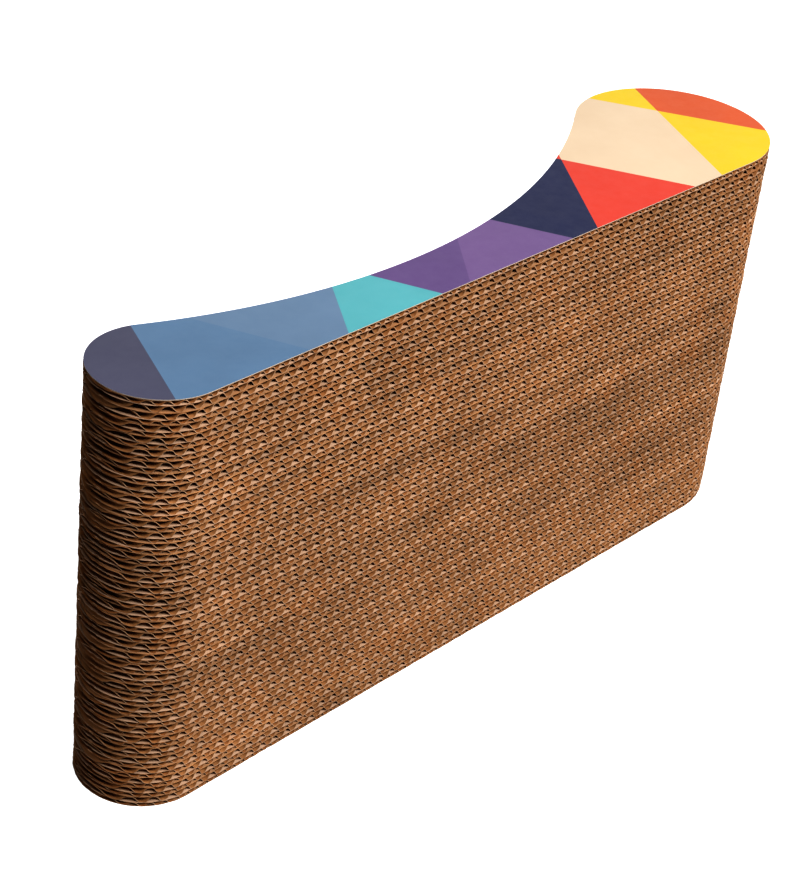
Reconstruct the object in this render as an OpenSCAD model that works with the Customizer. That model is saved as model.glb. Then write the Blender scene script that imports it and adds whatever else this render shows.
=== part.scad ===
// Cardboard cat scratcher: a stack of die-cut double-wall corrugated boards glued face to face.
// The stack stands on its bottom board, as it is stored and shown, with the printed sheet on top.
// Laid over on its long straight side, it is a lounge with a low foot, a hollow seat and a high head.
// The length runs along X with the head at +X. The straight side faces -Y and the hollow seat +Y.
// The origin is at the middle of the length and depth, on the underside of the bottom board.

/* [Outline] */
// Radius of the round foot end
foot_r = 34; // [28:1:44]
// Radius of the round head end
head_r = 56.5; // [48:0.5:66]
// Radius of the hollow seat, which runs smoothly into both ends
seat_r = 374; // [330:2:420]
// Distance along the straight side from the foot's centre to the head's centre
end_spacing = 412; // [370:2:450]

/* [Boards] */
// Number of boards in the stack
board_count = 37; // [20:1:50]
// Thickness of each of the three flat liners in a board
liner_t = 0.25; // [0.15:0.05:0.4]
// Height of the large flutes between their two liners
large_flute_h = 3.5; // [3:0.1:4.8]
// Height of the small flutes between their two liners
small_flute_h = 1.9; // [1.5:0.1:2.8]

/* [Glue] */
// Thickness of the glue between two boards
glue_t = 0.15; // [0.1:0.05:0.4]
// Width of a glue bead
bead_w = 6; // [3:0.5:8]
// Distance from one glue bead to the next across the board
bead_spacing = 22; // [18:1:30]
// Least distance from a glue bead to the board's edge
bead_margin = 5; // [3:0.5:8]

/* [Print] */
// Thickness of the printed sheet on the top board
print_t = 0.35; // [0.2:0.05:0.6]

/* [Hidden] */
BOARD_NAMES = [for (level = [1:board_count]) str("board_", level < 10 ? "0" : "", level)];

// One board lies on the glue of the board below
board_t = 3 * liner_t + large_flute_h + small_flute_h;
board_pitch = board_t + glue_t;
stack_h = board_count * board_t + (board_count - 1) * glue_t;

// Most that a straight facet of the outline cuts off its arc
arc_sag = 0.06;

// The outline has its own frame: X from the foot's centre, Y from the straight side
foot_centre = [0, foot_r];
head_centre = [end_spacing, head_r];
outline_l = foot_r + end_spacing + head_r;
outline_d = 2 * max(foot_r, head_r);

// The seat's centre lies one seat radius beyond the edge of both round ends
centres_d = norm(head_centre - foot_centre);
towards_head = (head_centre - foot_centre) / centres_d;
away_from_base = [-towards_head.y, towards_head.x];
seat_to_foot = seat_r + foot_r;
seat_to_head = seat_r + head_r;
seat_along = (seat_to_foot ^ 2 - seat_to_head ^ 2 + centres_d ^ 2) / (2 * centres_d);
seat_aside = sqrt(seat_to_foot ^ 2 - seat_along ^ 2);
seat_centre = foot_centre + seat_along * towards_head + seat_aside * away_from_base;
foot_touch_angle = atan2(seat_centre.y - foot_centre.y, seat_centre.x - foot_centre.x);
head_touch_angle = atan2(seat_centre.y - head_centre.y, seat_centre.x - head_centre.x);

// Colours as photographed
cardboard_tan = "#b08a5e";
glue_white = "#e9e4d2";
print_blue = "#4f7fa6";

// Points along an arc, as far apart as the arc's sag allows, without the end point that begins the next arc
function arc(centre, r, from, to) =
    let (steps = ceil(abs(to - from) / (2 * acos(1 - arc_sag / r))))
    [for (i = [0:steps - 1])
        let (angle = from + (to - from) * i / steps)
        centre + r * [cos(angle), sin(angle)]];

// The board's outline, or the same outline drawn in by an inset all round
module outline(inset = 0) {
    head = head_r - inset;
    seat = seat_r + inset;
    foot = foot_r - inset;
    polygon(concat(
        arc(head_centre, head, -90, 0),
        arc(head_centre, head, 0, 90),
        arc(head_centre, head, 90, head_touch_angle),
        arc(seat_centre, seat, head_touch_angle + 180, foot_touch_angle + 180),
        arc(foot_centre, foot, foot_touch_angle, 180),
        arc(foot_centre, foot, 180, 270),
        [[foot_centre.x, inset]]
    ));
}

// Lays a flat layer of the stack in the part's own frame, at its height
module layer(bottom_z, thickness) {
    translate([foot_r - outline_l / 2, -outline_d / 2, bottom_z])
        linear_extrude(thickness)
            children();
}

// A double-wall corrugated board, counted from the bottom of the stack
module board(level) {
    color(cardboard_tan)
        layer((level - 1) * board_pitch, board_t)
            outline();
}

// Straight beads of glue that run along the boards, between each board and the next
module glue_beads() {
    color(glue_white)
        for (level = [1:board_count - 1])
            layer((level - 1) * board_pitch + board_t, glue_t)
                intersection() {
                    outline(bead_margin);
                    for (bead_y = [bead_spacing / 2:bead_spacing:outline_d])
                        translate([-foot_r, bead_y - bead_w / 2])
                            square([outline_l, bead_w]);
                }
}

// The printed sheet laminated all over the top board
module print_sheet() {
    color(print_blue)
        layer(stack_h, print_t)
            outline();
}

for (level = [1:board_count])
    board(level);
glue_beads();
print_sheet();
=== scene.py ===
"""The looks of a cardboard cat scratcher: a glued stack of corrugated boards with a printed top."""

import math

import bpy
import numpy as np
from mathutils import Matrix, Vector


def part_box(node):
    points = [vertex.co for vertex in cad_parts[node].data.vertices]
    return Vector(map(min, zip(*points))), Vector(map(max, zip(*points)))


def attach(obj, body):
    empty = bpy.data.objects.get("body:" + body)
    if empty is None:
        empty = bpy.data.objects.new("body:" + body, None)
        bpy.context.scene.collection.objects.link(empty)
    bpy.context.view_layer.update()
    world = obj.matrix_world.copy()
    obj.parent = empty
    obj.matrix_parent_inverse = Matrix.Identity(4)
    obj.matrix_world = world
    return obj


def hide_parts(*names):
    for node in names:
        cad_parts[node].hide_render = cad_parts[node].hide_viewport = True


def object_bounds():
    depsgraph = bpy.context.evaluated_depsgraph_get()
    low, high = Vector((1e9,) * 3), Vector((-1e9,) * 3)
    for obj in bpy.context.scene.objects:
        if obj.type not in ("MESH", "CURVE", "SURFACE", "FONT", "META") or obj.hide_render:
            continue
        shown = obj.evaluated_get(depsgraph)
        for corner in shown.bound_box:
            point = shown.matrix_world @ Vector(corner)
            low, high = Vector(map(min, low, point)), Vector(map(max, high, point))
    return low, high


bl_info = {
    "name": "Cardboard cat scratcher",
    "version": (1, 0, 0),
    "blender": (4, 5, 0),
    "location": "View3D > Sidebar > Scratcher",
    "description": "Builds the corrugated boards, the glue, the printed sheet and a small studio",
    "category": "Object",
}

MM = 0.001

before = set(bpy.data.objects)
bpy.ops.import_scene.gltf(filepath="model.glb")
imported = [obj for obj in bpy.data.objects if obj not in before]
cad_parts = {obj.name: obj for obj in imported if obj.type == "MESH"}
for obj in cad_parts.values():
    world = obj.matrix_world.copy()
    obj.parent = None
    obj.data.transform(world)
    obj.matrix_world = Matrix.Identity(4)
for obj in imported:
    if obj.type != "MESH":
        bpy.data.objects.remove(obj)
CAD_BOX = [list(corner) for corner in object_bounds()]
LEFT, FRONT, BOTTOM = CAD_BOX[0]
RIGHT, BACK, TOP = CAD_BOX[1]
STACK_LENGTH = RIGHT - LEFT
STACK_DEPTH = BACK - FRONT
STACK_HEIGHT = TOP - BOTTOM
BOARD_NODES = sorted(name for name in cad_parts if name.startswith("board_"))

WHITE = (1, 1, 1, 1)


class BoardSettings(bpy.types.PropertyGroup):
    """Sizes and colours of the corrugated boards and their glue."""

    foot_radius: bpy.props.FloatProperty(
        name="Foot radius", description="Radius of the low round end", default=34 * MM, unit="LENGTH"
    )
    head_radius: bpy.props.FloatProperty(
        name="Head radius", description="Radius of the high round end", default=56.5 * MM, unit="LENGTH"
    )
    seat_radius: bpy.props.FloatProperty(
        name="Seat radius", description="Radius of the hollow seat", default=374 * MM, unit="LENGTH"
    )
    liner: bpy.props.FloatProperty(
        name="Liner", description="Thickness of a flat liner", default=0.2 * MM, unit="LENGTH"
    )
    fluting: bpy.props.FloatProperty(
        name="Fluting", description="Thickness of the fluted paper", default=0.28 * MM, unit="LENGTH"
    )
    large_height: bpy.props.FloatProperty(
        name="Large flute height",
        description="Space between the large flutes' liners",
        default=3.3 * MM,
        unit="LENGTH",
    )
    small_height: bpy.props.FloatProperty(
        name="Small flute height",
        description="Space between the small flutes' liners",
        default=2.25 * MM,
        unit="LENGTH",
    )
    large_pitch: bpy.props.FloatProperty(
        name="Large flute pitch", description="Length of one large flute", default=8.71 * MM, unit="LENGTH"
    )
    small_pitch: bpy.props.FloatProperty(
        name="Small flute pitch", description="Length of one small flute", default=6.33 * MM, unit="LENGTH"
    )
    steepness: bpy.props.FloatProperty(
        name="Flute steepness",
        description="How much steeper a flute's flanks are than a sine wave's",
        default=1.9,
    )
    cut_depth: bpy.props.FloatProperty(
        name="Cut depth",
        description="How far in from the edge the die has bent the papers",
        default=1.2 * MM,
        unit="LENGTH",
    )
    cut_fuzz: bpy.props.FloatProperty(
        name="Cut fuzz",
        description="How unevenly the papers' edges are cut",
        default=0.35 * MM,
        unit="LENGTH",
    )
    swell: bpy.props.FloatProperty(
        name="Swell",
        description="How far the cut has opened each outer liner",
        default=0.06 * MM,
        unit="LENGTH",
    )
    roll: bpy.props.FloatProperty(
        name="Roll",
        description="How far the die has pressed down each paper's cut edge",
        default=0.3 * MM,
        unit="LENGTH",
    )
    crush: bpy.props.FloatProperty(
        name="Crush",
        description="Largest share of its height that a flute has lost at the cut",
        default=0.06,
        subtype="FACTOR",
    )
    lean: bpy.props.FloatProperty(
        name="Lean", description="How far a flute leans sideways at the cut", default=0.5 * MM, unit="LENGTH"
    )
    sway: bpy.props.FloatProperty(
        name="Sway", description="How far the layers wander up and down", default=0.45 * MM, unit="LENGTH"
    )
    slip: bpy.props.FloatProperty(
        name="Slip",
        description="How far the worst-laid boards lie out of line",
        default=0.25 * MM,
        unit="LENGTH",
    )
    seed: bpy.props.IntProperty(name="Seed", description="Start of the random draws", default=7)
    # Partly the kraft's own colour and partly painted shade: this face is mostly seen as the floor of the
    # small flutes' hollows, and is darkened for their shade
    outer_colour_and_shade: bpy.props.FloatVectorProperty(
        name="Outer liner colour",
        description="Kraft of the two outer liners",
        default=(0.30, 0.16, 0.08),
        subtype="COLOR",
    )
    middle_colour: bpy.props.FloatVectorProperty(
        name="Middle liner colour",
        description="Greyer middle liner",
        default=(0.41, 0.265, 0.175),
        subtype="COLOR",
    )
    large_colour: bpy.props.FloatVectorProperty(
        name="Large flute colour",
        description="Paper of the large flutes",
        default=(0.275, 0.127, 0.048),
        subtype="COLOR",
    )
    # Darker than the large flutes' paper: partly the paper's own colour and partly painted shade of the small
    # flutes' deeper hollows
    small_colour_and_shade: bpy.props.FloatVectorProperty(
        name="Small flute colour",
        description="Paper of the small flutes",
        default=(0.235, 0.097, 0.031),
        subtype="COLOR",
    )
    outer_edge_colour: bpy.props.FloatVectorProperty(
        name="Outer liner edge colour",
        description="Cut edge of the outer liners",
        default=(0.50, 0.25, 0.10),
        subtype="COLOR",
    )
    # Darker than the middle liner's face and the other cut edges: partly the edge's own colour and partly
    # painted shade of the dark band between the two rows of flutes
    middle_edge_colour_and_shade: bpy.props.FloatVectorProperty(
        name="Middle liner edge colour",
        description="Cut edge of the middle liner",
        default=(0.20, 0.09, 0.035),
        subtype="COLOR",
    )
    fluting_edge_colour: bpy.props.FloatVectorProperty(
        name="Fluting edge colour",
        description="Cut edge of the fluted paper",
        default=(0.50, 0.32, 0.20),
        subtype="COLOR",
    )
    bead_step: bpy.props.FloatProperty(
        name="Bead step",
        description="Length of glue bead that stays straight",
        default=15 * MM,
        unit="LENGTH",
    )
    bead_waver: bpy.props.FloatProperty(
        name="Bead waver",
        description="How far the glue beads waver sideways",
        default=0.5 * MM,
        unit="LENGTH",
    )
    glue_colour: bpy.props.FloatVectorProperty(
        name="Glue colour", description="Dried glue", default=(0.72, 0.66, 0.5), subtype="COLOR"
    )


class PrintSettings(bpy.types.PropertyGroup):
    """The printed sheet's size, finish and colours, named from the foot to the head."""

    thickness: bpy.props.FloatProperty(
        name="Thickness", description="Thickness of the printed sheet", default=0.35 * MM, unit="LENGTH"
    )
    gloss: bpy.props.FloatProperty(
        name="Gloss", description="Weight of the varnish over the print", default=0.35, subtype="FACTOR"
    )
    paper_colour: bpy.props.FloatVectorProperty(
        name="Paper colour",
        description="Cut edge of the printed sheet",
        default=(0.56, 0.46, 0.37),
        subtype="COLOR",
    )
    slate: bpy.props.FloatVectorProperty(
        name="Slate", description="Block at the foot", default=(0.061, 0.061, 0.101), subtype="COLOR"
    )
    deep_blue: bpy.props.FloatVectorProperty(
        name="Deep blue", description="First blue block", default=(0.090, 0.163, 0.261), subtype="COLOR"
    )
    pale_blue: bpy.props.FloatVectorProperty(
        name="Pale blue", description="Second blue block", default=(0.109, 0.175, 0.265), subtype="COLOR"
    )
    turquoise: bpy.props.FloatVectorProperty(
        name="Turquoise", description="Turquoise block", default=(0.080, 0.320, 0.347), subtype="COLOR"
    )
    violet: bpy.props.FloatVectorProperty(
        name="Violet", description="First violet block", default=(0.105, 0.059, 0.170), subtype="COLOR"
    )
    lilac: bpy.props.FloatVectorProperty(
        name="Lilac", description="Second violet block", default=(0.140, 0.080, 0.202), subtype="COLOR"
    )
    navy: bpy.props.FloatVectorProperty(
        name="Navy", description="Navy block", default=(0.007, 0.011, 0.054), subtype="COLOR"
    )
    red: bpy.props.FloatVectorProperty(
        name="Red", description="Red block", default=(0.571, 0.041, 0.019), subtype="COLOR"
    )
    cream: bpy.props.FloatVectorProperty(
        name="Cream", description="Cream block", default=(0.618, 0.469, 0.320), subtype="COLOR"
    )
    yellow: bpy.props.FloatVectorProperty(
        name="Yellow", description="Yellow block", default=(0.643, 0.449, 0.007), subtype="COLOR"
    )
    orange: bpy.props.FloatVectorProperty(
        name="Orange", description="Block at the head", default=(0.540, 0.085, 0.016), subtype="COLOR"
    )


class StageSettings(bpy.types.PropertyGroup):
    """The floor, the lights and the camera."""

    floor_size: bpy.props.FloatProperty(
        name="Floor size", description="Length of the floor's sides", default=8.0, unit="LENGTH"
    )
    floor_glow: bpy.props.FloatProperty(
        name="Floor glow", description="How brightly the floor shines towards the camera", default=0.7
    )
    floor_colour: bpy.props.FloatVectorProperty(
        name="Floor colour",
        description="Studio floor, apart from its glow",
        default=(0.45, 0.45, 0.45),
        subtype="COLOR",
    )
    air: bpy.props.FloatProperty(
        name="Air light", description="Strength of the light from all round", default=0.01
    )
    key_place: bpy.props.FloatVectorProperty(
        name="Key light place",
        description="Place of the main soft light",
        default=(0.25, -1.35, 1.81),
        subtype="TRANSLATION",
    )
    key_size: bpy.props.FloatVectorProperty(
        name="Key light size",
        description="Width and height of the main soft light",
        default=(1.6, 0.4),
        size=2,
        unit="LENGTH",
    )
    key_power: bpy.props.FloatProperty(
        name="Key light power", description="Power of the main soft light", default=63.0, unit="POWER"
    )
    fill_place: bpy.props.FloatVectorProperty(
        name="Fill light place",
        description="Place of the weak light off the foot",
        default=(-0.56, -0.05, 1.18),
        subtype="TRANSLATION",
    )
    fill_size: bpy.props.FloatVectorProperty(
        name="Fill light size",
        description="Width and height of the weak light off the foot",
        default=(0.35, 0.35),
        size=2,
        unit="LENGTH",
    )
    fill_power: bpy.props.FloatProperty(
        name="Fill light power", description="Power of the weak light off the foot", default=1.6, unit="POWER"
    )
    back_place: bpy.props.FloatVectorProperty(
        name="Back light place",
        description="Place of the light behind the head",
        default=(1.4, 1.2, 0.95),
        subtype="TRANSLATION",
    )
    back_size: bpy.props.FloatVectorProperty(
        name="Back light size",
        description="Width and height of the light behind the head",
        default=(1.8, 1.2),
        size=2,
        unit="LENGTH",
    )
    back_power: bpy.props.FloatProperty(
        name="Back light power", description="Power of the light behind the head", default=3.0, unit="POWER"
    )
    rear_place: bpy.props.FloatVectorProperty(
        name="Rear light place",
        description="Place of the light on the seat's side",
        default=(0.8, 1.5, 0.16),
        subtype="TRANSLATION",
    )
    rear_size: bpy.props.FloatVectorProperty(
        name="Rear light size",
        description="Width and height of the light on the seat's side",
        default=(1.2, 0.3),
        size=2,
        unit="LENGTH",
    )
    rear_power: bpy.props.FloatProperty(
        name="Rear light power",
        description="Power of the light on the seat's side",
        default=20.0,
        unit="POWER",
    )
    camera_place: bpy.props.FloatVectorProperty(
        name="Camera place",
        description="Where the photograph was taken from",
        default=(-799.65 * MM, -650.13 * MM, 729.52 * MM),
        subtype="TRANSLATION",
    )
    camera_turn: bpy.props.FloatVectorProperty(
        name="Camera turn",
        description="How the camera was held",
        default=(math.radians(58.071), math.radians(-5.631), math.radians(-46.811)),
        subtype="EULER",
    )
    lens: bpy.props.FloatProperty(name="Lens", description="Focal length in mm", default=88.97)
    sensor_width: bpy.props.FloatProperty(
        name="Sensor width", description="Width of the camera's sensor in mm", default=36.0
    )


class Circle:
    """A circle of the outline, and its edges in front of and behind its centre at each x."""

    def __init__(self, x, y, radius):
        self.x = x
        self.y = y
        self.radius = radius

    def half_chord(self, x):
        """How far the circle reaches to the front and to the back at x, which is 0 beside the circle."""
        return np.sqrt(np.maximum(self.radius**2 - (x - self.x) ** 2, 0))

    def front(self, x):
        return self.y - self.half_chord(x)

    def back(self, x):
        return self.y + self.half_chord(x)


class Outline:
    """The boards' shared outline in the frame's own axes: where its front and back edges lie at each x."""

    # Turns round each end that have a column of their own, in degrees from the end's tip
    END_TURNS = range(4, 84, 4)
    # How many even steps in from each tip these columns reach
    END_STEPS = 4
    # Least gap between two columns, as a share of an even step
    LEAST_GAP = 1 / 8

    def __init__(self, s):
        self.foot = Circle(LEFT + s.foot_radius, FRONT + s.foot_radius, s.foot_radius)
        self.head = Circle(RIGHT - s.head_radius, FRONT + s.head_radius, s.head_radius)
        self.seat = self.seat_circle(s.seat_radius)
        to_foot = (self.foot.x - self.seat.x) / (s.seat_radius + s.foot_radius)
        to_head = (self.head.x - self.seat.x) / (s.seat_radius + s.head_radius)
        self.seat_from = self.seat.x + s.seat_radius * to_foot
        self.seat_to = self.seat.x + s.seat_radius * to_head

    def seat_circle(self, radius):
        """The circle of this radius that touches both round ends from behind."""
        foot = np.array([self.foot.x, self.foot.y])
        head = np.array([self.head.x, self.head.y])
        gap = np.linalg.norm(head - foot)
        along = (head - foot) / gap
        aside = np.array([-along[1], along[0]])
        to_foot = radius + self.foot.radius
        to_head = radius + self.head.radius
        run = (to_foot**2 - to_head**2 + gap**2) / (2 * gap)
        rise = math.sqrt(to_foot**2 - run**2)
        return Circle(*(foot + run * along + rise * aside), radius)

    def front(self, x):
        ends = np.where(x < self.foot.x, self.foot.front(x), self.head.front(x))
        return np.where((self.foot.x <= x) & (x <= self.head.x), FRONT, ends)

    def back(self, x):
        ends = np.where(x < self.seat_from, self.foot.back(x), self.head.back(x))
        return np.where((self.seat_from <= x) & (x <= self.seat_to), self.seat.front(x), ends)

    def columns(self, step):
        """Places along x, a step apart, and closer where the outline turns back at its two ends."""
        turn = np.radians(self.END_TURNS)
        foot = self.foot.x - self.foot.radius * np.cos(turn)
        head = self.head.x + self.head.radius * np.cos(turn)
        even = np.arange(foot[0] + step, head[0] - step / 2, step)
        reach = self.END_STEPS * step
        close = np.concatenate([foot[foot < foot[0] + reach], head[head > head[0] - reach]])
        x = np.sort(np.concatenate([even, close]))
        return x[np.concatenate([[True], np.diff(x) > step * self.LEAST_GAP])]


def wander(x, length, rng):
    """Smooth random values from -1 to 1 that change over a length along x.

    Each length has a random value at its start, and an S-shaped curve leads to the next.
    """
    knots = np.arange(x.min() - 2 * length, x.max() + 3 * length, length)
    values = rng.uniform(-1, 1, len(knots))
    place = (x - knots[0]) / length
    knot = np.floor(place).astype(int)
    share = place - knot
    share = share * share * (3 - 2 * share)
    return values[knot] * (1 - share) + values[knot + 1] * share


# The waves in which the layers have settled: how far along the stack, up it and across it each takes to turn
# by one radian, the turn that it starts with, and its share
SETTLING_WAVES = [
    (31 * MM, 37 * MM, math.inf, 0, 0.5),
    (13 * MM, -19 * MM, math.inf, 2, 0.2),
    (67 * MM, 11 * MM, 40 * MM, 0, 0.5),
]
# Keeps rounding from making the sine of half a turn negative
ROUNDING = 1e-9


def settle(places, s):
    """Moves points as the stack's layers have settled, the same for all pieces, so that none run together."""
    x, y, z = places.T
    height_share = np.clip(z / STACK_HEIGHT, 0, 1)
    free = np.sqrt(np.sin(math.pi * height_share) + ROUNDING)
    rise = 0
    for along, up, across, start, share in SETTLING_WAVES:
        rise = rise + np.sin(x / along + z / up + y / across + start) * share
    return np.column_stack([x, y, z + s.sway * free * rise])


def deselect():
    bpy.ops.object.select_all(action="DESELECT")


def copy_of_node(node, name):
    """A selected copy of a CAD node in its own place, for a piece that keeps the node's shape."""
    deselect()
    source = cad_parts[node]
    piece = bpy.data.objects.new(name, source.data.copy())
    bpy.context.collection.objects.link(piece)
    piece.data.name = name
    piece.data.transform(source.matrix_world)
    bpy.context.view_layer.objects.active = piece
    piece.select_set(True)
    return piece


# Middle of a paper's tones and of a noise's values, both of which run from 0 to 1
MIDDLE = 0.5
# Faces that meet at a flatter angle than this look smooth
SMOOTH_ANGLE = math.radians(50)


def sheet_of_paper(name, x, rows, place, thickness, materials, tone=MIDDLE):
    """A closed sheet of paper: a grid with a column at each x, put in place and given its thickness.

    The two materials are its face's and its cut edge's, and the tone is kept on it for them to read.
    """
    deselect()
    bpy.ops.mesh.primitive_grid_add(x_subdivisions=len(x) - 1, y_subdivisions=rows - 1, size=1)
    sheet = bpy.context.object
    sheet.name = name
    mesh = sheet.data
    flat = np.empty(len(mesh.vertices) * 3)
    mesh.vertices.foreach_get("co", flat)
    share = flat.reshape(-1, 3) + 1 / 2
    column = np.rint(share[:, 0] * (len(x) - 1)).astype(int)
    row = np.rint(share[:, 1] * (rows - 1)).astype(int)
    mesh.vertices.foreach_set("co", place(column, row).ravel())
    tones = mesh.attributes.new("paper_tone", "FLOAT", "POINT")
    tones.data.foreach_set("value", np.full(len(mesh.vertices), tone))
    for material in materials:
        mesh.materials.append(material)
    bpy.ops.object.modifier_add(type="SOLIDIFY")
    solidify = sheet.modifiers[-1]
    solidify.thickness = thickness
    solidify.offset = 0
    solidify.material_offset_rim = 1
    bpy.ops.object.modifier_apply(modifier=solidify.name)
    return sheet


def join_as(name, sheets):
    """Joins finished sheets into one piece whose faces are smooth up to the papers' cut edges."""
    deselect()
    for sheet in sheets:
        sheet.select_set(True)
    bpy.context.view_layer.objects.active = sheets[0]
    if len(sheets) > 1:
        bpy.ops.object.join()
    piece = bpy.context.object
    piece.name = piece.data.name = name
    bpy.ops.object.shade_smooth_by_angle(angle=SMOOTH_ANGLE)
    return piece


class BoardMaker:
    """Makes the papers of one board. Each board has its own flute phase, cut and slip."""

    # A paper has a row of points on the front cut, one a little way in, and the same at the back
    ROWS = 4
    LINER_STEP = 3 * MM
    FLUTE_STEPS = 10
    # Largest share of the board's depth that a bent edge takes up, and of that edge that may be cut away
    LARGEST_EDGE = 0.4
    LARGEST_FUZZ = 0.5
    # Lengths over which the papers' bend, lean and stretch change along the board
    BEND_LENGTH = 17 * MM
    LEAN_LENGTH = 23 * MM
    STRETCH_LENGTH = 60 * MM
    # How far the flutes are out of even step
    STRETCH = 0.5 * MM
    # Share of a paper's tone that it has in common with the board's other papers
    COMMON_TONE = 0.5

    def __init__(self, level, settings, materials):
        self.s = settings
        self.outline = Outline(settings)
        self.rng = np.random.default_rng(settings.seed + level)
        self.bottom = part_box(f"board_{level:02d}")[0][2]
        self.turned_over = level == len(BOARD_NODES)
        self.materials = materials
        # A cube is mostly near 0, so most boards lie nearly in line
        self.slip = self.rng.uniform(-1, 1, 2) ** 3 * settings.slip
        self.tone = 0.0 if self.turned_over else self.rng.random()

    def lay(self, x, z, drop, swell=0.0):
        """Gives the placing of a sheet's grid, whose rows run from the front cut to the back cut at height z.

        At the two cuts the sheet is pressed down, opened by swell and crushed by up to drop, and flutes lean.
        """
        s = self.s
        front = self.outline.front(x)
        back = self.outline.back(x)
        inset = np.minimum(s.cut_depth, self.LARGEST_EDGE * (back - front))
        # Squared, so that most of the cut is nearly clean
        fuzz = s.cut_fuzz * self.rng.random((2, len(x))) ** 2
        fuzz = np.minimum(fuzz, self.LARGEST_FUZZ * inset)
        y = np.array([front + fuzz[0], front + inset, back - inset, back - fuzz[1]])
        xs = np.tile(x, (self.ROWS, 1))
        zs = np.tile(z, (self.ROWS, 1))
        for row in (0, self.ROWS - 1):
            bent = np.maximum(wander(x, self.BEND_LENGTH, self.rng), 0)
            zs[row] += drop * bent + swell - s.roll
            leaning = s.lean * wander(x, self.LEAN_LENGTH, self.rng)
            xs[row] += leaning * (drop != 0)
        low = np.array(CAD_BOX[0]) + s.liner / 2
        high = np.array(CAD_BOX[1]) - s.liner / 2

        def place(column, row):
            points = np.column_stack([xs[row, column], y[row, column], zs[row, column]])
            points[:, :2] += self.slip
            return np.clip(settle(points, s), low, high)

        return place

    def paper_tone(self):
        """A random tone from 0 to 1 that is partly shared by the board's papers."""
        return self.COMMON_TONE * self.tone + (1 - self.COMMON_TONE) * self.rng.random()

    def sheet(self, name, x, place, thickness, kind):
        return sheet_of_paper(name, x, self.ROWS, place, thickness, self.materials[kind], self.paper_tone())

    def liner(self, bottom, kind, swell=0.0):
        """A flat paper that lies at the height of its bottom."""
        s = self.s
        x = self.outline.columns(self.LINER_STEP)
        z = np.full(len(x), bottom + s.liner / 2)
        place = self.lay(x, z, np.zeros(len(x)), swell)
        return self.sheet("liner", x, place, s.liner, kind)

    def flutes(self, bottom, height, pitch, kind):
        """A fluted paper that fills a height above its bottom."""
        s = self.s
        x = self.outline.columns(pitch / self.FLUTE_STEPS)
        stretch = self.STRETCH * wander(x, self.STRETCH_LENGTH, self.rng)
        turn = 2 * math.pi * ((x + stretch) / pitch + self.rng.random())
        wave = np.tanh(s.steepness * np.sin(turn)) / math.tanh(s.steepness)
        reach = (height - s.fluting) / 2
        z = bottom + height / 2 + reach * wave
        drop = -s.crush * reach * wave
        place = self.lay(x, z, drop)
        return self.sheet("flutes", x, place, s.fluting, kind)

    def make(self, name):
        """The whole board as one piece: a liner, flutes, the middle liner, flutes and a liner, from below."""
        s = self.s
        layers = [(s.small_height, s.small_pitch, "small"), (s.large_height, s.large_pitch, "large")]
        if self.turned_over:
            layers.reverse()
        z = self.bottom
        sheets = [self.liner(z, "outer", -s.swell)]
        for (height, pitch, size), kind, swell in zip(layers, ["middle", "outer"], [0.0, s.swell]):
            z += s.liner
            sheets.append(self.flutes(z, height, pitch, size))
            z += height
            sheets.append(self.liner(z, kind, swell))
        return join_as(name, sheets)


class Value:
    """A number among a material's or world's nodes. Arithmetic on it adds the Math nodes that work it out."""

    def __init__(self, nodes, socket):
        self.nodes = nodes
        self.socket = socket

    def maths(self, operation, first, second):
        made = self.nodes.node("ShaderNodeMath", {"operation": operation}, {0: first, 1: second})
        return Value(self.nodes, made.outputs[0])

    def __add__(self, other):
        return self.maths("ADD", self, other)

    def __radd__(self, other):
        return self.maths("ADD", other, self)

    def __sub__(self, other):
        return self.maths("SUBTRACT", self, other)

    def __rsub__(self, other):
        return self.maths("SUBTRACT", other, self)

    def __mul__(self, other):
        return self.maths("MULTIPLY", self, other)

    def __rmul__(self, other):
        return self.maths("MULTIPLY", other, self)

    def __truediv__(self, other):
        return self.maths("DIVIDE", self, other)

    def __rtruediv__(self, other):
        return self.maths("DIVIDE", other, self)

    def __gt__(self, other):
        return self.maths("GREATER_THAN", self, other)

    def __lt__(self, other):
        return self.maths("LESS_THAN", self, other)


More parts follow.
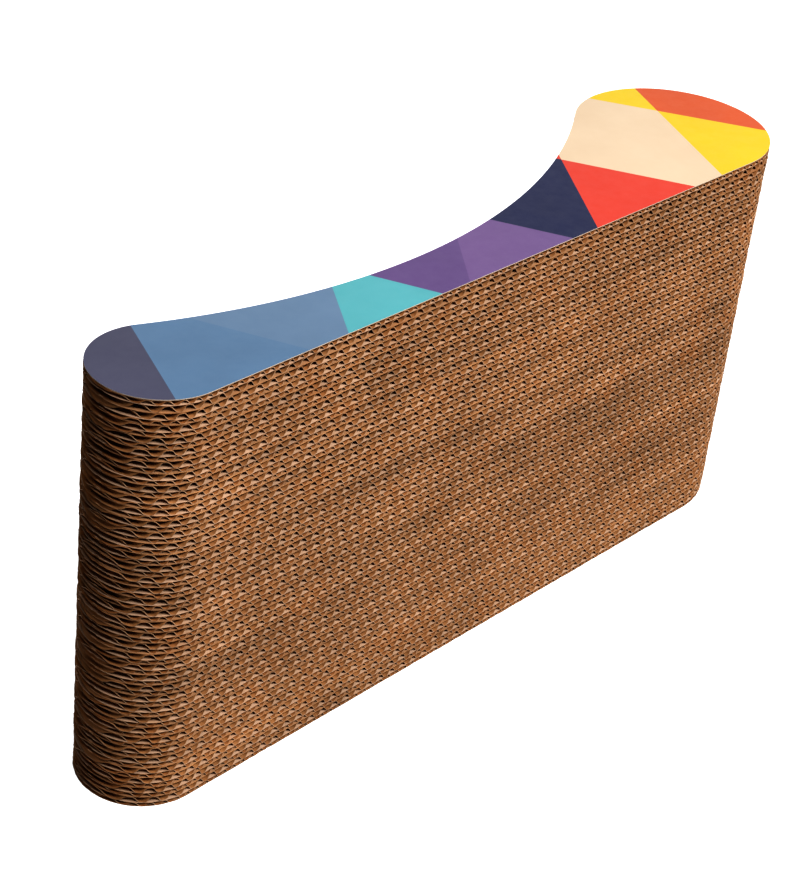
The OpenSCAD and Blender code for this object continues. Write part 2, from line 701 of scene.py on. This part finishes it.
class Nodes:
    """The nodes of a material or a world."""

    # The Mix node has inputs and outputs for each kind of data, and these are its colours'
    MIX_SHARE = 0
    MIX_FIRST = 6
    MIX_SECOND = 7
    MIX_RESULT = 2

    def __init__(self, tree):
        self.tree = tree

    def node(self, kind, settings=None, sockets=None):
        """Adds a node, sets its settings or its ramp's stops, then fills its sockets."""
        made = self.tree.nodes.new(kind)
        for setting, value in (settings or {}).items():
            if setting == "stops":
                self.set_stops(made.color_ramp, value)
            else:
                setattr(made, setting, value)
        for socket, value in (sockets or {}).items():
            self.fill(made.inputs[socket], value)
        return made

    @staticmethod
    def set_stops(ramp, stops):
        """Gives a ramp its stops, each a place from 0 to 1 and the colour from there to the next stop."""
        ramp.interpolation = "CONSTANT"
        while len(ramp.elements) < len(stops):
            ramp.elements.new(1.0)
        for i, (place, colour) in enumerate(stops):
            ramp.elements[i].position = place
            ramp.elements[i].color = colour

    def fill(self, socket, value):
        if isinstance(value, Value):
            value = value.socket
        if isinstance(value, bpy.types.NodeSocket):
            self.tree.links.new(value, socket)
        else:
            socket.default_value = value

    def seen_by_camera(self):
        """1 for what the camera sees itself, and 0 for what only lights other things."""
        return Value(self, self.node("ShaderNodeLightPath").outputs["Is Camera Ray"])

    def spread(self, value, low, high, to_low=0.0, to_high=1.0):
        """Spreads values from low to high over the range to_low to to_high, and keeps others inside it."""
        sockets = {"Value": value, "From Min": low, "From Max": high, "To Min": to_low, "To Max": to_high}
        return Value(self, self.node("ShaderNodeMapRange", {"clamp": True}, sockets).outputs[0])

    def mix(self, share, first, second, blend="MIX"):
        settings = {"data_type": "RGBA", "blend_type": blend}
        sockets = {self.MIX_SHARE: share, self.MIX_FIRST: first, self.MIX_SECOND: second}
        return self.node("ShaderNodeMix", settings, sockets).outputs[self.MIX_RESULT]


class Shader(Nodes):
    """A material, and the nodes that feed its Principled shader."""

    def __init__(self, name, **constants):
        self.material = bpy.data.materials.new(name)
        self.material.use_nodes = True
        super().__init__(self.material.node_tree)
        self.surface = self.tree.nodes["Principled BSDF"]
        for socket, value in constants.items():
            self.feed(socket.replace("_", " "), value)

    def feed(self, name, value):
        self.fill(self.surface.inputs[name], value)

    def attribute(self, name):
        made = self.node("ShaderNodeAttribute", {"attribute_name": name})
        return Value(self, made.outputs["Fac"])

    def coordinates(self):
        return self.node("ShaderNodeTexCoord").outputs["Object"]

    def stretched(self, vector, factors):
        settings = {"operation": "MULTIPLY"}
        return self.node("ShaderNodeVectorMath", settings, {0: vector, 1: factors}).outputs[0]

    def axes(self, vector):
        parts = self.node("ShaderNodeSeparateXYZ", None, {0: vector})
        return [Value(self, out) for out in parts.outputs]

    def noise(self, vector, size, detail=2.0, roughness=0.5):
        """Noise from 0 to 1 whose features are about size across."""
        sockets = {"Vector": vector, "Scale": 1 / size, "Detail": detail, "Roughness": roughness}
        return Value(self, self.node("ShaderNodeTexNoise", None, sockets).outputs["Fac"])

    def bump(self, height, depth, strength=1.0):
        sockets = {"Strength": strength, "Distance": depth, "Height": height}
        self.feed("Normal", self.node("ShaderNodeBump", None, sockets).outputs[0])


def opaque(colour, brightness=1.0):
    """A colour as the nodes take it, darker or brighter by a factor."""
    return (*(min(c * brightness, 1) for c in colour), 1.0)


# How strongly the bands, clouds and flecks show on paper
PAPER_PATTERN = 0.8
# What is left of a paper's red, green and blue where it is rusty
RUST_TINT = (1, 0.82, 0.6)


def paper_shader(name, colour, light=1.3, dark=0.7, own=0.4):
    """Brown paper: each sheet's own tone weighs own, with bands and clouds over it and fibres along it."""
    shader = Shader(name, Roughness=0.82, Specular_IOR_Level=0.25)
    place = shader.coordinates()
    sheet = shader.attribute("paper_tone")
    band = shader.noise(shader.stretched(place, (0.08, 0.08, 1)), 15 * MM)
    cloud = shader.noise(place, 45 * MM, detail=3.0, roughness=0.6)
    fleck = shader.noise(shader.stretched(place, (1, 0.25, 1)), 1.6 * MM, detail=3.0, roughness=0.65)
    pattern = (band + cloud + fleck - 3 * MIDDLE) * PAPER_PATTERN
    share = (sheet - MIDDLE) * own + pattern + MIDDLE
    share = shader.spread(share, low=0.1, high=0.9)
    tone = shader.mix(share, opaque(colour, dark), opaque(colour, light))
    warm = shader.noise(place, 18 * MM)
    rusty = shader.spread(warm, low=0.52, high=0.75, to_high=0.6)
    rust = [part * left for part, left in zip(colour, RUST_TINT)]
    shader.feed("Base Color", shader.mix(rusty, tone, opaque(rust)))
    fibres = shader.noise(shader.stretched(place, (0.3, 1, 1)), 0.5 * MM, detail=3.0, roughness=0.6)
    shader.bump(fibres, depth=0.08 * MM, strength=0.6)
    return shader.material


def glue_shader(s):
    """Dried glue, cloudy and half dull."""
    shader = Shader("dried_glue", Specular_IOR_Level=0.4)
    place = shader.coordinates()
    cloud = shader.noise(place, 9 * MM, detail=3.0)
    shader.feed("Base Color", shader.mix(cloud, opaque(s.glue_colour, 0.8), opaque(s.glue_colour, 1.1)))
    shader.feed("Roughness", shader.spread(cloud, low=0.2, high=0.8, to_low=0.35, to_high=0.6))
    shader.bump(shader.noise(place, 2 * MM), depth=0.1 * MM)
    return shader.material


# Each colour block of the print from the foot to the head, and where the line between it and the next block
# meets the front and the back of the sheet, as shares of the length
PRINT_BLOCKS = {
    "slate": (0.03, 0.13),
    "deep_blue": (0.19, 0.09),
    "pale_blue": (0.24, 0.40),
    "turquoise": (0.37, 0.27),
    "violet": (0.41, 0.60),
    "lilac": (0.57, 0.46),
    "navy": (0.61, 0.78),
    "red": (0.78, 0.66),
    "cream": (0.83, 0.95),
    "yellow": (1.00, 0.87),
}
LAST_PRINT_BLOCK = "orange"
# How much of the sheet's relief comes from rubbing, beside its dents
RUB_RELIEF = 0.06


def print_shader(s):
    """Large colour blocks that run from cool at the foot to warm at the head, under a soft varnish."""
    shader = Shader("printed_colours", Coat_Weight=s.gloss, Coat_Roughness=0.25, Specular_IOR_Level=0.4)
    place = shader.coordinates()
    x, y, _ = shader.axes(place)
    along = (x - LEFT) / STACK_LENGTH
    across = (y - FRONT) / STACK_DEPTH
    # Counts the lines passed, from a half, so that the count lies in the middle of its colour's stop
    passed = 0.5
    for front, back in PRINT_BLOCKS.values():
        passed = (along > across * (back - front) + front) + passed
    blocks = [*PRINT_BLOCKS, LAST_PRINT_BLOCK]
    stops = [(i / len(blocks), opaque(getattr(s, block))) for i, block in enumerate(blocks)]
    colours = shader.node("ShaderNodeValToRGB", {"stops": stops}, {"Fac": passed / len(blocks)}).outputs[0]
    ink = shader.noise(place, 60 * MM, detail=3.0, roughness=0.6)
    faded = shader.spread(ink, low=0.3, high=0.75, to_high=0.22)
    shader.feed("Base Color", shader.mix(faded, colours, WHITE, "SOFT_LIGHT"))
    rub = shader.noise(place, 7 * MM, detail=4.0, roughness=0.6)
    shader.feed("Roughness", shader.spread(rub, low=0.3, high=0.7, to_low=0.36, to_high=0.48))
    dents = shader.noise(place, 26 * MM)
    shader.bump(dents + rub * RUB_RELIEF, depth=0.35 * MM, strength=0.5)
    return shader.material


def print_paper_shader(s):
    """The cut edge of the printed sheet."""
    shader = Shader("print_paper", Roughness=0.8)
    place = shader.coordinates()
    grain = shader.noise(place, 1.5 * MM, detail=3.0)
    shader.feed("Base Color", shader.mix(grain, opaque(s.paper_colour, 0.85), opaque(s.paper_colour, 1.15)))
    shader.bump(grain, depth=0.05 * MM)
    return shader.material


def floor_shader(s):
    """A floor that looks white to the camera and throws little light back on the object."""
    shader = Shader("pale_floor", Roughness=0.6, Specular_IOR_Level=0.2, Emission_Strength=s.floor_glow)
    shader.feed("Base Color", opaque(s.floor_colour))
    shader.feed("Emission Color", WHITE)
    # All but the camera see the floor without its glow
    plain = shader.node("ShaderNodeBsdfDiffuse", None, {"Color": opaque(s.floor_colour)})
    sockets = {0: shader.seen_by_camera(), 1: plain.outputs[0], 2: shader.surface.outputs[0]}
    mixed = shader.node("ShaderNodeMixShader", None, sockets)
    shader.fill(shader.tree.nodes["Material Output"].inputs["Surface"], mixed.outputs[0])
    return shader.material


def studio_air(s):
    """A world that looks white to the camera and gives a little light from all round."""
    world = bpy.data.worlds.new("studio_air")
    world.use_nodes = True
    air = Nodes(world.node_tree)
    background = air.tree.nodes["Background"]
    air.fill(background.inputs["Color"], WHITE)
    air.fill(background.inputs["Strength"], air.spread(air.seen_by_camera(), 0.0, 1.0, to_low=s.air))
    return world


class SCRATCHER_OT_boards(bpy.types.Operator):
    """Build the corrugated boards, each from three liners and two fluted papers"""

    bl_idname = "scratcher.boards"
    bl_label = "Make boards"

    def execute(self, context):
        s = context.scene.scratcher_boards
        outer_edge = paper_shader("cut_outer_liner", s.outer_edge_colour, light=1.9, dark=0.3, own=2.2)
        # The middle liner's cut edge is partly painted shade of the dark band between the rows of flutes
        middle_edge = paper_shader("cut_middle_liner", s.middle_edge_colour_and_shade, light=1.4, dark=0.6, own=0.5)
        fluting_edge = paper_shader("cut_fluting", s.fluting_edge_colour)
        materials = {
            # The outer liners' colour is partly painted shade of the small flutes' hollows
            "outer": [paper_shader("outer_liner", s.outer_colour_and_shade), outer_edge],
            "middle": [paper_shader("middle_liner", s.middle_colour), middle_edge],
            "large": [paper_shader("large_flutes", s.large_colour), fluting_edge],
            # The small flutes' colour is partly painted shade of their deeper hollows
            "small": [paper_shader("small_flutes", s.small_colour_and_shade), fluting_edge],
        }
        for level, node in enumerate(BOARD_NODES, start=1):
            piece = BoardMaker(level, s, materials).make(f"corrugated_{node}")
            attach(piece, "root")
            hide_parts(node)
        return {"FINISHED"}


class SCRATCHER_OT_glue(bpy.types.Operator):
    """Lay the beads of glue between the boards, settled as the boards are"""

    bl_idname = "scratcher.glue"
    bl_label = "Make glue"

    # How far along and up the stack a bead's waver takes to turn by one radian
    WAVER_ALONG = 7 * MM
    WAVER_UP = 2 * MM

    def execute(self, context):
        s = context.scene.scratcher_boards
        beads = copy_of_node("glue_beads", "dried_glue_beads")
        bpy.ops.object.mode_set(mode="EDIT")
        bpy.ops.mesh.select_all(action="SELECT")
        bpy.ops.mesh.remove_doubles(threshold=0.01 * MM)
        bpy.ops.mesh.dissolve_limited(angle_limit=math.radians(1))
        for x in np.arange(LEFT + s.bead_step, RIGHT, s.bead_step):
            bpy.ops.mesh.select_all(action="SELECT")
            bpy.ops.mesh.bisect(plane_co=(x, 0, 0), plane_no=(1, 0, 0))
        bpy.ops.object.mode_set(mode="OBJECT")
        mesh = beads.data
        places = np.empty(len(mesh.vertices) * 3)
        mesh.vertices.foreach_get("co", places)
        places = settle(places.reshape(-1, 3), s)
        turn = places[:, 0] / self.WAVER_ALONG + places[:, 2] / self.WAVER_UP
        places[:, 1] += s.bead_waver * np.sin(turn)
        mesh.vertices.foreach_set("co", places.ravel())
        mesh.update()
        mesh.materials.clear()
        mesh.materials.append(glue_shader(s))
        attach(beads, "root")
        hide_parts("glue_beads")
        return {"FINISHED"}


class SCRATCHER_OT_print(bpy.types.Operator):
    """Lay the printed sheet on the top board"""

    bl_idname = "scratcher.print"
    bl_label = "Make printed sheet"

    COLUMN_STEP = 2 * MM
    ROWS = 9

    def execute(self, context):
        s = context.scene.scratcher_print
        outline = Outline(context.scene.scratcher_boards)
        x = outline.columns(self.COLUMN_STEP)
        front, back = outline.front(x), outline.back(x)
        middle_z = TOP - s.thickness / 2

        def place(column, row):
            share = row / (self.ROWS - 1)
            y = front[column] + (back - front)[column] * share
            return np.column_stack([x[column], y, np.full(len(y), middle_z)])

        materials = [print_shader(s), print_paper_shader(s)]
        sheet = sheet_of_paper("sheet", x, self.ROWS, place, s.thickness, materials)
        piece = join_as("printed_top_sheet", [sheet])
        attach(piece, "root")
        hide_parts("print_sheet")
        return {"FINISHED"}


def soft_light(name, place, size, power):
    """A soft light that faces the middle of the stack, of a width and height and a power."""
    bpy.ops.object.light_add(type="AREA", location=place)
    light = bpy.context.object
    light.name = name
    light.data.shape = "RECTANGLE"
    light.data.size, light.data.size_y = size
    light.data.energy = power
    aim = Vector((0, 0, STACK_HEIGHT / 2)) - Vector(place)
    light.rotation_euler = aim.to_track_quat("-Z", "Y").to_euler()


class SCRATCHER_OT_stage(bpy.types.Operator):
    """Set up the pale floor, the soft lights and the camera"""

    bl_idname = "scratcher.stage"
    bl_label = "Set the stage"

    def execute(self, context):
        s = context.scene.scratcher_stage
        deselect()
        bpy.ops.mesh.primitive_plane_add(size=s.floor_size)
        floor = context.object
        floor.name = "studio_floor"
        floor.data.materials.append(floor_shader(s))
        soft_light("key_light", s.key_place, s.key_size, s.key_power)
        soft_light("fill_light", s.fill_place, s.fill_size, s.fill_power)
        soft_light("back_light", s.back_place, s.back_size, s.back_power)
        soft_light("rear_light", s.rear_place, s.rear_size, s.rear_power)
        context.scene.world = studio_air(s)
        context.scene.view_settings.view_transform = "Standard"
        context.scene.view_settings.look = "High Contrast"
        bpy.ops.object.camera_add(location=s.camera_place, rotation=s.camera_turn)
        camera = context.object
        camera.data.lens = s.lens
        camera.data.sensor_width = s.sensor_width
        context.scene.camera = camera
        return {"FINISHED"}


class SCRATCHER_PT_panel(bpy.types.Panel):
    """Lists the steps that build the scratcher, and their settings"""

    bl_label = "Cat scratcher"
    bl_idname = "SCRATCHER_PT_panel"
    bl_space_type = "VIEW_3D"
    bl_region_type = "UI"
    bl_category = "Scratcher"

    def draw(self, context):
        for operator in OPERATORS:
            self.layout.operator(operator.bl_idname)
        for name, group in SETTINGS.items():
            settings = getattr(context.scene, name)
            box = self.layout.box()
            for setting in group.__annotations__:
                box.prop(settings, setting)


SETTINGS = {
    "scratcher_boards": BoardSettings,
    "scratcher_print": PrintSettings,
    "scratcher_stage": StageSettings,
}
OPERATORS = [SCRATCHER_OT_boards, SCRATCHER_OT_glue, SCRATCHER_OT_print, SCRATCHER_OT_stage]
CLASSES = [*SETTINGS.values(), *OPERATORS, SCRATCHER_PT_panel]


def register():
    for cls in CLASSES:
        bpy.utils.register_class(cls)
    for name, group in SETTINGS.items():
        setattr(bpy.types.Scene, name, bpy.props.PointerProperty(type=group))


def unregister():
    for name in SETTINGS:
        delattr(bpy.types.Scene, name)
    for cls in reversed(CLASSES):
        bpy.utils.unregister_class(cls)


def main():
    register()
    bpy.ops.scratcher.boards()
    bpy.ops.scratcher.glue()
    bpy.ops.scratcher.print()
    bpy.ops.scratcher.stage()


if __name__ == "__main__":
    main()
